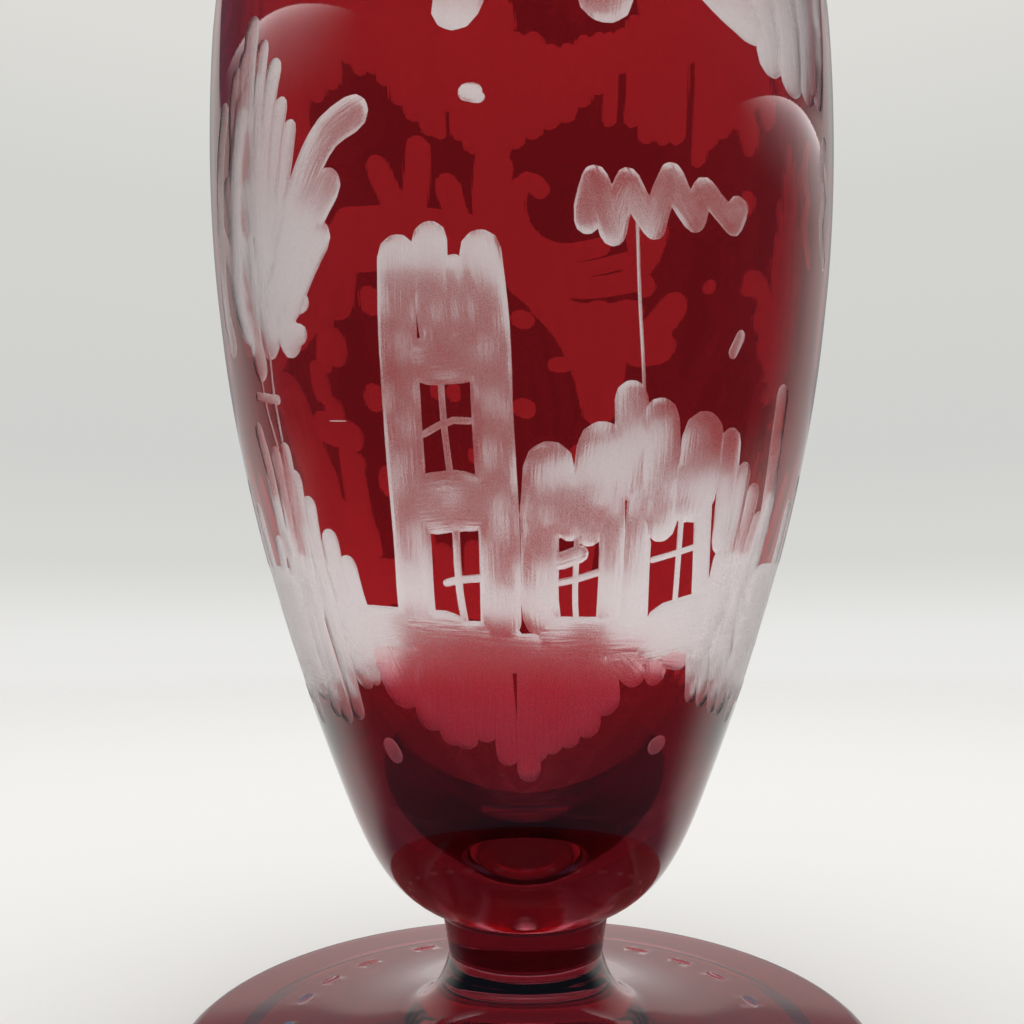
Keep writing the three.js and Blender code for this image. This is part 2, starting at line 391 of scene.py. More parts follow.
FAR_BEADS = [
    (24, (361, 303), (362, 308)),
    (26, (322, 351), (323, 360)),
    (22, (366, 407), (366, 412)),
    (22, (380, 492), (380, 500)),
    (16, (434, 400), (434, 404)),
    (16, (451, 402), (451, 406)),
    (20, (520, 326), (525, 328)),
    (16, (557, 375), (568, 375)),
    (20, (522, 419), (527, 421)),
    (14, (471, 468), (473, 470)),
    (14, (720, 290), (724, 290)),
    (24, (762, 205), (768, 208)),
    (24, (400, 352), (400, 356)),
    (24, (436, 318), (441, 318)),
    (22, (482, 356), (482, 361)),
    (22, (404, 437), (404, 440)),
    (22, (490, 410), (490, 414)),
    (24, (481, 466), (483, 470)),
    (20, (390, 475), (390, 478)),
    (26, (436, 506), (444, 507)),
]
FAR_CLOUD = [
    (36, (545, 488), (568, 482), (590, 476)),
    (44, (590, 476), (625, 466), (668, 452)),
    (30, (620, 490), (650, 486)),
    (22, (548, 530), (552, 540)),
    (26, (500, 520), (501, 545)),
    (30, (412, 552), (414, 562)),
]
FAR_SHRUBS = [
    (20, (304, 385), (308, 402)),
    (22, (322, 424), (322, 440)),
    (28, (308, 440), (325, 446), (340, 450)),
    (22, (335, 470), (337, 490)),
    (14, (348, 476), (346, 490)),
    (28, (340, 490), (344, 525), (353, 562)),
]
FAR_GROUND = [
    (44, (372, 600), (420, 604), (470, 612)),
    (22, (437, 570), (438, 600)),
    (22, (470, 566), (470, 600)),
    (34, (455, 620), (520, 622), (590, 616)),
    (30, (540, 592), (562, 596), (590, 604)),
    (22, (591, 556), (586, 585), (578, 606)),
    (46, (590, 612), (640, 610), (700, 606)),
    (34, (546, 640), (562, 641)),
    (26, (604, 514), (640, 516)),
    (30, (400, 622), (440, 626)),
    (24, (690, 505), (735, 500)),
    (60, (650, 640), (700, 620), (740, 590)),
    (50, (690, 660), (715, 640), (745, 610)),
    (60, (660, 580), (705, 560), (750, 530)),
    (50, (345, 600), (325, 565), (300, 520)),
    (50, (342, 640), (318, 600), (290, 550)),
    (44, (345, 670), (325, 640), (300, 600)),
    (40, (300, 500), (285, 460), (272, 420)),
]
FAR_TREE = [
    (40, (252, 40), (248, 120), (256, 220), (272, 320)),
    (36, (276, 90), (270, 180), (276, 260), (280, 320)),
    (36, (226, 110), (232, 200), (246, 300)),
    (40, (300, 240), (292, 280), (284, 320)),
]


def surface_at(heights):
    """Radius and outward normal of the bowl's outside at some heights."""
    radius, out, up = (np.interp(heights, bowl_outline[:, 1], bowl_outline[:, k]) for k in (0, 2, 3))
    steep = np.hypot(out, up)
    return radius, out / steep, up / steep


# The photograph's camera, in mm and degrees: it also says where on the glass each cut lies
PHOTO_SIDE = 1024
CAMERA_PLACE = np.array([0, -117, 47.8])
CAMERA_TURN, CAMERA_TILT, CAMERA_ROLL = 0.64, 96.18, -0.29
LENS, SENSOR_WIDTH = 34.63, 36
NEAREST_SIGHT, FARTHEST_SIGHT, SIGHT_STEP = 60, 175, 0.025
camera_turn = Matrix.Identity(4)
for degrees, axis in ((CAMERA_TURN, "Z"), (CAMERA_TILT, "X"), (CAMERA_ROLL, "Z")):
    camera_turn = camera_turn @ Matrix.Rotation(math.radians(degrees), 4, axis)
camera_axes = np.array(camera_turn.to_3x3())
pixels_deep = PHOTO_SIDE * LENS / SENSOR_WIDTH
sight_steps = np.arange(NEAREST_SIGHT, FARTHEST_SIGHT, SIGHT_STEP)[:, None]


def on_the_glass(x, y, far):
    """The point of the bowl's outside, on its near or far side, that shows at a pixel of the photograph."""
    aim = camera_axes @ np.array([x - PHOTO_SIDE / 2, PHOTO_SIDE / 2 - y, -pixels_deep])
    line = CAMERA_PLACE + sight_steps * aim / np.linalg.norm(aim)
    beyond = np.hypot(line[:, 0], line[:, 1]) - surface_at(line[:, 2])[0]
    inside = np.nonzero(beyond < 0)[0]
    if len(inside) == 0:
        return line[np.argmin(beyond)]
    return line[inside[-1 if far else 0]]


# Where the glass turns away from the camera, a cut is at most so many times as wide as seen flat on
WIDEST_AT_THE_EDGE = 1.9


def cut_on_the_glass(wide, *pixels, far=False):
    """A cut's width in mm, then its path in degrees round from the front and mm above the table."""
    path, widths = [], []
    for k, (x, y) in enumerate(pixels):
        point = on_the_glass(x, y, far)
        bearing = math.degrees(math.atan2(point[0], -point[1]))
        path.append((bearing % 360 if far else bearing, point[2]))
        before, after = pixels[max(k - 1, 0)], pixels[min(k + 1, len(pixels) - 1)]
        run, fall = after[0] - before[0], after[1] - before[1]
        part = wide / 2 / math.hypot(run, fall)
        left, right = (on_the_glass(x - side * fall * part, y + side * run * part, far) for side in (1, -1))
        flat_on = wide * np.linalg.norm(point - CAMERA_PLACE) / pixels_deep
        widths.append(min(np.linalg.norm(left - right), WIDEST_AT_THE_EDGE * flat_on))
    return (float(np.median(widths)), *path)


PARTS_OF_A_BEND = 8


def smooth_path(points, step):
    """Points about one step apart on a smooth curve through the given ones, and how far along it each is."""
    points = np.array(points, float)
    if len(points) > 2:
        ends = np.vstack([2 * points[0] - points[1], points, 2 * points[-1] - points[-2]])
        fine = []
        for a, b, c, d in zip(ends, ends[1:], ends[2:], ends[3:]):
            for t in np.linspace(0, 1, PARTS_OF_A_BEND + 1)[:-1]:
                bend = (c - a) * t + (2 * a - 5 * b + 4 * c - d) * t ** 2 + (3 * b - a - 3 * c + d) * t ** 3
                fine.append(b + bend / 2)
        points = np.array(fine + [points[-1]])
    arc_mm = np.radians(points[:, 0]) * surface_at(points[:, 1])[0].mean()
    reach = np.concatenate([[0], np.cumsum(np.hypot(np.diff(arc_mm), np.diff(points[:, 1])))])
    at = np.linspace(0, reach[-1], max(2, round(reach[-1] / step) + 1))
    return np.column_stack([np.interp(at, reach, points[:, 0]), np.interp(at, reach, points[:, 1])]), at


# The wheel's cut: rows of points across it as shares of its half width, rows round its ends, the
# sharpness of its flat floor, and how far in mm its lid stands off the glass
ACROSS = np.array([-1.1, -1, -0.93, -0.8, -0.5, 0, 0.5, 0.8, 0.93, 1, 1.1])
CAP_ANGLES = np.radians([32, 58, 78, 90])
CUT_STEP = 1.4
FLOOR_SHARPNESS = 6
LID_CLEARANCE = 0.3


def lay_map(mesh, name, spots):
    """A UV map on a mesh, from one spot for each of its points."""
    corners = np.empty(len(mesh.loops), np.int32)
    mesh.loops.foreach_get("vertex_index", corners)
    layer = mesh.uv_layers.new(name=name)
    layer.data.foreach_set("uv", np.array(spots)[corners].astype(np.float32).ravel())


def closed_cut(name, floor, lid, spot):
    """A closed mesh between a floor and a lid, grids of points whose first and last rows are one point."""
    rows, across = len(floor), len(ACROSS)
    points, places, number = [], [], {}
    for layer, grid in enumerate((floor, lid)):
        for i in range(rows):
            tip = i in (0, rows - 1)
            for j in range(across):
                if tip and j:
                    number[layer, i, j] = number[layer, i, 0]
                    continue
                number[layer, i, j] = len(points)
                points.append(grid[i][across // 2 if tip else j])
                places.append(spot[i][across // 2 if tip else j])
    faces = []

    def face(*corners):
        kept = [c for k, c in enumerate(corners) if c != corners[k - 1]]
        if len(kept) > 2:
            faces.append(kept)

    n = number
    for i in range(rows - 1):
        for j in range(across - 1):
            face(n[0, i, j], n[0, i, j + 1], n[0, i + 1, j + 1], n[0, i + 1, j])
            face(n[1, i, j], n[1, i + 1, j], n[1, i + 1, j + 1], n[1, i, j + 1])
        face(n[0, i, 0], n[0, i + 1, 0], n[1, i + 1, 0], n[1, i, 0])
        j = across - 1
        face(n[0, i, j], n[1, i, j], n[1, i + 1, j], n[0, i + 1, j])
    mesh = bpy.data.meshes.new(name)
    mesh.from_pydata((np.array(points) * MM).tolist(), [], faces)
    mesh.polygons.foreach_set("use_smooth", [True] * len(faces))
    lay_map(mesh, "cut_mm", places)
    return mesh


def wheel_cut(name, width, points, depth):
    """The glass that one pass of the wheel takes off: a shallow trough with round ends under a lid."""
    path, reach = smooth_path(points, CUT_STEP)
    half = width / 2
    mm_per_degree = np.radians(surface_at(path[:, 1])[0])
    turn = np.gradient(path, axis=0) * np.column_stack([mm_per_degree, np.ones(len(path))])
    along = turn / np.linalg.norm(turn, axis=1)[:, None]
    cap = [(half * ACROSS[-1] * math.sin(a), math.cos(a)) for a in CAP_ANGLES]
    rows = [(0, -beyond, spread) for beyond, spread in cap[::-1]]
    rows += [(i, 0, 1) for i in range(len(path))]
    rows += [(len(path) - 1, beyond, spread) for beyond, spread in cap]
    floor, lid, spot = [], [], []
    for i, beyond, spread in rows:
        offsets = half * ACROSS * max(spread, 0)
        round_mm = beyond * along[i, 0] - offsets * along[i, 1]
        azimuth = np.radians(path[i, 0]) + round_mm / surface_at(path[i, 1])[0]
        heights = path[i, 1] + beyond * along[i, 1] + offsets * along[i, 0]
        radius, out, up = surface_at(heights)
        sink = depth * (1 - (np.hypot(beyond, offsets) / half) ** FLOOR_SHARPNESS)
        for layer, rise in ((floor, -sink), (lid, np.full(len(offsets), LID_CLEARANCE))):
            r = radius + rise * out
            layer.append(np.column_stack([r * np.sin(azimuth), -r * np.cos(azimuth), heights + rise * up]))
        spot.append(np.column_stack([offsets, np.full(len(offsets), reach[i] + beyond)]))
    return closed_cut(name, floor, lid, spot)


def glass(name, colour, roughness):
    """A glass of one colour, red, green and blue, and its nodes."""
    material = bpy.data.materials.new(name)
    material.use_nodes = True
    shader = material.node_tree.nodes["Principled BSDF"]
    shader.inputs["Base Color"].default_value = (*colour, 1)
    shader.inputs["Roughness"].default_value = roughness
    shader.inputs["Transmission Weight"].default_value = 1
    shader.inputs["IOR"].default_value = 1.5
    return material


def node(tree, kind, inputs=(), **settings):
    """A new node with its settings; each input is given a value, or the output that feeds it."""
    made = tree.nodes.new("ShaderNode" + kind)
    for name, setting in settings.items():
        setattr(made, name, setting)
    for key, value in dict(inputs).items():
        if isinstance(value, bpy.types.NodeSocket):
            tree.links.new(value, made.inputs[key])
        else:
            made.inputs[key].default_value = value
    return made


def smooth(tree, value, start, end, first=0, last=1):
    """Goes smoothly from the first result to the last while the value goes from start to end."""
    ends = {"From Min": start, "From Max": end, "To Min": first, "To Max": last}
    eased = node(tree, "MapRange", {"Value": value, **ends}, interpolation_type="SMOOTHSTEP")
    return eased.outputs["Result"]


def blended(tree, share, first, last):
    """The first colour where the share is 0 and the last where it is 1."""
    return node(tree, "Mix", {"Factor": share, "A": first, "B": last}, data_type="RGBA").outputs["Result"]


def number_node(tree, operation, *values):
    """The result of a sum on numbers or on outputs that give numbers."""
    return node(tree, "Math", enumerate(values), operation=operation).outputs[0]


def vector_node(tree, operation, *values):
    """The same for vectors."""
    return node(tree, "VectorMath", enumerate(values), operation=operation).outputs[0]


def bumps(tree, height, strength, distance):
    """Dents in the shading that follow a height; the distance is in m."""
    values = {"Height": height, "Strength": strength, "Distance": distance}
    return node(tree, "Bump", values).outputs["Normal"]


# The ruby is thin and bright over the body, darker over the thick base, and ends below the lip. It
# changes between two heights in m.
POLISHED, STREAK_STRENGTH, STREAK_DEPTH = 0.02, 0.5, 0.000006
THIN_RUBY, THICK_RUBY = (0.16, 0.0001, 0.00015), (0.085, 0.0035, 0.0065, 1)
FOOT_RUBY = (0.34, 0.006, 0.011, 1)
RUBY_GATHERS, FOOT_TO_STEM, RUBY_ENDS = (0.02, 0.045), (0.0042, 0.008), (0.194, 0.1985)
BARE_LIP = (0.97, 0.9, 0.9, 1)
ruby_glass = glass("ruby_layer", THIN_RUBY, POLISHED)
tree = ruby_glass.node_tree
shader = tree.nodes["Principled BSDF"]
place = node(tree, "TexCoord").outputs["Object"]
height = node(tree, "SeparateXYZ", {0: place}).outputs["Z"]
over_base = blended(tree, smooth(tree, height, *RUBY_GATHERS), THICK_RUBY, (*THIN_RUBY, 1))
over_foot = blended(tree, smooth(tree, height, *FOOT_TO_STEM), FOOT_RUBY, over_base)
over_lip = blended(tree, smooth(tree, height, *RUBY_ENDS), over_foot, BARE_LIP)
tree.links.new(over_lip, shader.inputs["Base Color"])
# Polishing leaves faint upright streaks, about a third of a millimetre apart
STREAKS_ROUND, STREAKS_UP = (110, 110, 0), (0, 0, 90)
bearing = vector_node(tree, "NORMALIZE", vector_node(tree, "MULTIPLY", place, (1, 1, 0)))
drawn_up = vector_node(tree, "MULTIPLY", place, STREAKS_UP)
upright = vector_node(tree, "MULTIPLY_ADD", bearing, STREAKS_ROUND, drawn_up)
streaks = node(tree, "TexNoise", {"Vector": upright, "Scale": 1, "Detail": 2}).outputs["Fac"]
tree.links.new(bumps(tree, streaks, STREAK_STRENGTH, STREAK_DEPTH), shader.inputs["Normal"])

CLEAR_COLOUR = (0.97, 0.985, 0.98)
clear_glass = glass("clear_glass", CLEAR_COLOUR, POLISHED)

# Where two pieces are fused there is no surface to see
fused_joint = bpy.data.materials.new("fused_joint")
fused_joint.use_nodes = True
tree = fused_joint.node_tree
tree.nodes.clear()
node(tree, "OutputMaterial", {0: node(tree, "BsdfTransparent").outputs[0]})

# The wheel leaves fine ground glass, with score marks from its grit along each cut
MATTE_COLOUR, GROUND_FINE, GROUND_ROUGH = (0.92, 0.83, 0.85), 0.18, 0.42
GRAIN_SCALE, GRAIN_MIDDLE = 30000, (0.42, 0.58)
SCORES_PER_MM, SCORE_STRENGTH, SCORE_DEPTH = (3.4, 0.22, 1), 0.6, 0.00006
matte_cut = glass("wheel_cut_matte", MATTE_COLOUR, GROUND_ROUGH)
tree = matte_cut.node_tree
shader = tree.nodes["Principled BSDF"]
place = node(tree, "TexCoord").outputs["Object"]
grain = node(tree, "TexNoise", {"Vector": place, "Scale": GRAIN_SCALE, "Detail": 1}).outputs["Fac"]
tree.links.new(smooth(tree, grain, *GRAIN_MIDDLE, GROUND_FINE, GROUND_ROUGH), shader.inputs["Roughness"])
cut_mm = node(tree, "UVMap", uv_map="cut_mm").outputs["UV"]
along_the_cut = vector_node(tree, "MULTIPLY", cut_mm, SCORES_PER_MM)
scores = node(tree, "TexNoise", {"Vector": along_the_cut, "Scale": 1, "Detail": 3}).outputs["Fac"]
tree.links.new(bumps(tree, scores, SCORE_STRENGTH, SCORE_DEPTH), shader.inputs["Normal"])

# From the turf down into the bush the cuts are painted more and more red: painted red light, in place of the
# light that reaches them coloured by the ruby round them
PAINTED_RED_LIGHT, RED_LIGHT_FROM, RED_LIGHT_TO = (0.95, 0.075, 0.14, 1), 0.0472, 0.041
red_lit_matte = matte_cut.copy()
red_lit_matte.name = "wheel_cut_painted_red_light"
tree = red_lit_matte.node_tree
place = node(tree, "TexCoord").outputs["Object"]
height = node(tree, "SeparateXYZ", {0: place}).outputs["Z"]
# Painted red light: the cut's colour turns from matte white to red between two heights
painted_red_colour = blended(tree, smooth(tree, height, RED_LIGHT_FROM, RED_LIGHT_TO), (*MATTE_COLOUR, 1), PAINTED_RED_LIGHT)
tree.links.new(painted_red_colour, tree.nodes["Principled BSDF"].inputs["Base Color"])

for material in (ruby_glass, clear_glass, fused_joint, matte_cut, red_lit_matte):
    bowl_mesh.materials.append(material)
bowl = bpy.data.objects.new("bowl_glass", bowl_mesh)
bpy.context.collection.objects.link(bowl)

# Out of the photograph the landscape goes on round both sides, in degrees round from the front and mm
# above the table: ground, grass and a tree like the one in front
SIDE_GROUND = [(5.5, (57, height), (90, height + 1), (126, height)) for height in (42.5, 46.5, 50.5)]
SIDE_GRASS = [(2.6, (turn, 38 + turn * 7 % 4), (turn + 1, 50), (turn + 1.5, 57 + turn * 11 % 9))
              for turn in range(64, 124, 6)]
SIDE_TREE_TURN = 138
tree_cuts = [cut_on_the_glass(*stroke) for stroke in LEFT_TREE + LEFT_TRUNK]
side_tree = [(width, *((bearing + SIDE_TREE_TURN, height) for bearing, height in points))
             for width, *points in tree_cuts]
right_side = SIDE_GROUND + SIDE_GRASS + side_tree
left_side = [(width, *((-bearing, height) for bearing, height in points)) for width, *points in right_side]
# Up the shoulder the hanging leaves run together
SHOULDER = [
    (5.2, (-6, 106), (-3.5, 114), (0, 126)),
    (6.2, (11, 108), (9.5, 117), (6, 127)),
    (4.6, (26, 106), (19, 112), (12, 122)),
    (4.8, (37, 108.5), (29, 115), (19, 126)),
    (4.8, (43, 109.5), (37, 118), (27, 129)),
    (4.4, (49.5, 110), (45, 119), (36, 131)),
    (4, (56, 111), (53, 121), (45, 133)),
    (4.6, (-24, 110), (-17, 116), (-8, 124)),
    (4.6, (-34, 113), (-26, 120), (-16, 128)),
    (4.4, (-43, 115), (-36, 122), (-26, 131)),
    (4.2, (-52, 117), (-46, 124), (-38, 133)),
    (4, (-61, 119), (-56, 126), (-50, 135)),
]
SHOULDER += [(4.6, (bearing, 112 + bearing % 5), (bearing + 4, 122), (bearing + 6, 134))
             for bearing in (*range(66, 112, 9), *range(-116, -66, 9))]

# A wider cut is deeper, up to the deepest, and no two neighbours are quite as deep
SHALLOWEST, DEEPER_PER_MM, DEEPEST = 0.017, 0.027, 0.115
LEAST_SHARE, SHARE_SPREAD, GOLDEN_STEP = 0.85, 0.3, 0.618
NEAR = (TOWER + TOWER_BARS + ROOFS + WALLS + HOUSE_BARS + GROUND + TURF + BUSH + ZIGZAG + ZIGZAG_LINE
        + SKY_MARKS + TOP_PETALS + WING + LEFT_TREE + LEFT_TRUNK + LEFT_GRASS + RIGHT_GRASS)
FAR = FAR_FOLIAGE + FAR_SCROLL + FAR_BEADS + FAR_CLOUD + FAR_SHRUBS + FAR_GROUND + FAR_TREE
# The turf and bush cuts take the matte with the painted red light
cuts = [(cut_on_the_glass(*stroke), red_lit_matte if stroke in TURF + BUSH else matte_cut)
        for stroke in NEAR]
cuts += [(cut_on_the_glass(*stroke, far=True), matte_cut) for stroke in FAR]
cuts += [(stroke, matte_cut) for stroke in right_side + left_side + SHOULDER]
cutters = []
for number, ((width, *points), finish) in enumerate(cuts):
    depth = min(DEEPEST, SHALLOWEST + DEEPER_PER_MM * width)
    depth *= LEAST_SHARE + SHARE_SPREAD * (number * GOLDEN_STEP % 1)
    cutter = wheel_cut(f"cut_{number}", width, points, depth)
    cutter.materials.append(finish)
    cutters.append(cutter)


def cut_away(piece, cutters, name):
    """Takes the glass inside all the cutters off a piece, and leaves each cutter's finish on its cut."""
    group = bpy.data.collections.new(name)
    bpy.context.scene.collection.children.link(group)
    for cutter in cutters:
        group.objects.link(bpy.data.objects.new(cutter.name, cutter))
    cut = piece.modifiers.new(name, "BOOLEAN")
    cut.operation = "DIFFERENCE"
    cut.solver = "MANIFOLD"
    cut.operand_type = "COLLECTION"
    cut.collection = group
    cut.material_mode = "TRANSFER"
    mesh = bpy.data.meshes.new_from_object(piece.evaluated_get(bpy.context.evaluated_depsgraph_get()))
    piece.modifiers.clear()
    piece.data = mesh
    for thing in list(group.objects):
        bpy.data.objects.remove(thing)
    bpy.data.collections.remove(group)
    return mesh


def face_corners(mesh):
    """The place in mm, the normal and the material slot at each corner of each face."""
    corners = np.empty(len(mesh.loops), np.int32)
    mesh.loops.foreach_get("vertex_index", corners)
    places = np.empty(len(mesh.vertices) * 3)
    mesh.vertices.foreach_get("co", places)
    normals = np.empty(len(corners) * 3, np.float32)
    mesh.corner_normals.foreach_get("vector", normals)
    sides = np.empty(len(mesh.polygons), np.int32)
    mesh.polygons.foreach_get("loop_total", sides)
    slots = np.empty(len(mesh.polygons), np.int32)
    mesh.polygons.foreach_get("material_index", slots)
    return places.reshape(-1, 3)[corners] / MM, normals.reshape(-1, 3), np.repeat(slots, sides)


# The polished glass keeps the smooth surface's own normals beside the cuts
CUT_EDGE_ANGLE = 30
engraved = cut_away(bowl, cutters, "wheel_cuts")
engraved.set_sharp_from_angle(angle=math.radians(CUT_EDGE_ANGLE))
at, normals, slots = face_corners(engraved)
polished = slots == RUBY
at = at[polished]
_, out, up = surface_at(at[:, 2])
spread = np.hypot(at[:, 0], at[:, 1])
normals[polished] = np.column_stack([out * at[:, 0] / spread, out * at[:, 1] / spread, up])
engraved.normals_split_custom_set(normals.tolist())
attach(bowl, "root")
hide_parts("bowl", "bowl_ruby_flash")

# Stem: a short solid button of the same cased glass, fused hot to the bowl above and the foot below.
STEM_BOTTOM, STEM_TOP = (8.7, 10.5), STATIONS[0][:2]
STEM_LEANS, STEM_FULLNESS, STEM_BANDS = (10, 14), (0.35, 0.35), 10
stem_outline = sweep((*STEM_BOTTOM, STEM_LEANS[0]), (*STEM_TOP, STEM_LEANS[1]), STEM_FULLNESS, STEM_BANDS)
stem_profile = np.vstack([[0, STEM_BOTTOM[1]], stem_outline[:, :2], [0, STEM_TOP[1]]])
stem_mesh = turned("stem_glass", stem_profile, [JOINT] + [RUBY] * STEM_BANDS + [JOINT])
stem = bpy.data.objects.new("stem_glass", stem_mesh)
bpy.context.collection.objects.link(stem)
for material in (ruby_glass, clear_glass, fused_joint):
    stem_mesh.materials.append(material)
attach(stem, "root")
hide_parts("stem", "stem_ruby_flash")

# Foot: a disc pressed out hot, its top rising in a cove to the stem, its underside ground hollow.
# A ring of small polished olives is cut into its top.
FOOT_RADIUS, RIM_THICKNESS, RIM_ROUNDING, RIM_BANDS = 38, 2.8, 1.2, 6
COVE_START, COVE_LEAN = (16, 3.7), -11
TOP_FULLNESSES, TOP_BANDS = [(0.33, 0.33), (0.42, 0.38)], [12, 20]
RESTING_RING_WIDTH, RING_EDGE, TABLE_GAP = 4.8, (0.2, 0.3), 0.02
HOLLOW, HOLLOW_RADII = 0.9, (14, 18, 22, 26, 29, 29.8, 30)
PONTIL_RADIUS, PONTIL_DEPTH, PONTIL_ROWS = 10, 1.5, 9
flat_radius = FOOT_RADIUS - RIM_ROUNDING
top_lean = math.degrees(math.atan2(COVE_START[0] - flat_radius, COVE_START[1] - RIM_THICKNESS))
top_stations = [(flat_radius, RIM_THICKNESS, top_lean), (*COVE_START, top_lean), (*STEM_BOTTOM, COVE_LEAN)]
foot_top = outline(top_stations, TOP_FULLNESSES, TOP_BANDS)
upper_rim = arc((flat_radius, RIM_THICKNESS - RIM_ROUNDING), RIM_ROUNDING, 0, 90, RIM_BANDS)
lower_rim = arc((flat_radius, RIM_ROUNDING), RIM_ROUNDING, -90, 0, RIM_BANDS)
across_scar = np.linspace(0, 1, PONTIL_ROWS)
pontil = np.column_stack([PONTIL_RADIUS * across_scar, HOLLOW + PONTIL_DEPTH * (1 - across_scar ** 2)])
hollow = [[radius, HOLLOW] for radius in HOLLOW_RADII]
ring_inner = flat_radius - RESTING_RING_WIDTH
ring_radii = (ring_inner, ring_inner + RING_EDGE[0], flat_radius - RING_EDGE[1])
resting_ring = [[radius, TABLE_GAP] for radius in ring_radii]
underside = np.vstack([pontil, hollow, resting_ring, lower_rim])
foot_profile = np.vstack([underside, upper_rim[:-1], foot_top[:, :2], [0, STEM_BOTTOM[1]]])
foot_slots = [CLEAR] * (len(underside) - 1) + [RUBY] * (RIM_BANDS + len(foot_top)) + [JOINT]
foot_mesh = turned("foot_glass", foot_profile, foot_slots)
foot = bpy.data.objects.new("foot_glass", foot_mesh)
bpy.context.collection.objects.link(foot)
for material in (ruby_glass, clear_glass, fused_joint):
    foot_mesh.materials.append(material)
# An olive's halves are its reach outward, round the foot and up, and hand work puts some a little aside
OLIVES, OLIVE_RING, OLIVE_SINK, OLIVE_HALVES = 22, 26.5, 0.17, (0.95, 2.3, 0.45)
ASIDE_DEGREES, ASIDE_STEP = 2, 1.7
flat_top = foot_top[:TOP_BANDS[0] + 1]
olive_height = float(np.interp(-OLIVE_RING, -flat_top[:, 0], flat_top[:, 1]))
olive_place = Matrix.Translation(np.array([OLIVE_RING, 0, olive_height + OLIVE_HALVES[2] - OLIVE_SINK]) * MM)
olive_size = Matrix.Diagonal([half * MM for half in OLIVE_HALVES]).to_4x4()
olives = []
for number in range(OLIVES):
    bearing = math.radians((number + 0.5) * 360 / OLIVES + ASIDE_DEGREES * math.sin(number * ASIDE_STEP))
    ball = bmesh.new()
    bmesh.ops.create_icosphere(ball, subdivisions=4, radius=1)
    placed = Matrix.Rotation(bearing, 4, "Z") @ olive_place @ olive_size
    bmesh.ops.transform(ball, matrix=placed, verts=ball.verts)
    olive = bpy.data.meshes.new(f"olive_{number}")
    ball.to_mesh(olive)
    ball.free()
    olive.materials.append(clear_glass)
    olives.append(olive)
OLIVE_EDGE_ANGLE = 26
foot_mesh = cut_away(foot, olives, "olives")
foot_mesh.set_sharp_from_angle(angle=math.radians(OLIVE_EDGE_ANGLE))
# Fire polish rounds the turn from the flat into the cove, which the mesh shows by its normals: the
# slope in degrees grows from the flat's to the cove's between two radii
COVE_END, TURN_END, TURN_START = 8, 16, 26
FLAT_SLOPE, COVE_SLOPE, NEAR_ENOUGH = 5, 13.5, 0.01
at, normals, slots = face_corners(foot_mesh)
spread = np.hypot(at[:, 0], at[:, 1])
on_top = (slots == RUBY) & (at[:, 2] > RIM_THICKNESS + 2 * NEAR_ENOUGH)
cove = on_top & (spread > COVE_END) & (spread < flat_radius + NEAR_ENOUGH)
turned_in = np.clip((TURN_START - spread[cove]) / (TURN_START - TURN_END), 0, 1)
eased = turned_in * turned_in * (3 - 2 * turned_in)
slope = np.radians(FLAT_SLOPE + (COVE_SLOPE - FLAT_SLOPE) * eased)
slope = np.maximum(slope, np.arccos(np.clip(normals[cove, 2], -1, 1)))
bearings = at[cove, :2] / spread[cove, None]
normals[cove] = np.column_stack([bearings * np.sin(slope)[:, None], np.cos(slope)])
foot_mesh.normals_split_custom_set(normals.tolist())
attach(foot, "root")
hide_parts("foot", "foot_ruby_flash")

# Studio: a pale table that fades into a pale backdrop, soft light round and above the vase, dark
# cloth and two bright panels that only reflections see, and the camera of the photograph.
scene = bpy.context.scene
camera = bpy.data.objects.new("camera", bpy.data.cameras.new("camera"))
camera.data.sensor_width = SENSOR_WIDTH
camera.data.lens = LENS
camera.data.clip_start = 0.005
camera.location = CAMERA_PLACE * MM
camera.rotation_euler = camera_turn.to_euler()
bpy.context.collection.objects.link(camera)
scene.camera = camera
scene.view_settings.view_transform = "Standard"

# The table's paint fades out between two radii in m
TABLE_RADIUS, TABLE_SIDES, TABLE_FADE, TABLE_PAINT = 3.0, 96, (0.12, 0.9), (0.86, 0.855, 0.84, 1)


def bare_nodes(thing):
    """The nodes of a new material or world, emptied."""
    thing.use_nodes = True
    thing.node_tree.nodes.clear()
    return thing.node_tree


edge = [(TABLE_RADIUS * math.cos(a), TABLE_RADIUS * math.sin(a), 0)
        for a in np.arange(TABLE_SIDES) * 2 * math.pi / TABLE_SIDES]
table_mesh = bpy.data.meshes.new("table")
table_mesh.from_pydata(edge, [], [tuple(range(TABLE_SIDES))])
table = bpy.data.objects.new("table", table_mesh)
bpy.context.collection.objects.link(table)
table_top = bpy.data.materials.new("table_top")
tree = bare_nodes(table_top)
place = node(tree, "TexCoord").outputs["Object"]
outward = node(tree, "VectorMath", {0: place}, operation="LENGTH").outputs["Value"]
paint = node(tree, "BsdfDiffuse", {"Color": TABLE_PAINT}).outputs[0]
gone = node(tree, "BsdfTransparent").outputs[0]
faded = node(tree, "MixShader", {0: smooth(tree, outward, *TABLE_FADE), 1: paint, 2: gone}).outputs[0]
node(tree, "OutputMaterial", {0: faded})
table_mesh.materials.append(table_top)

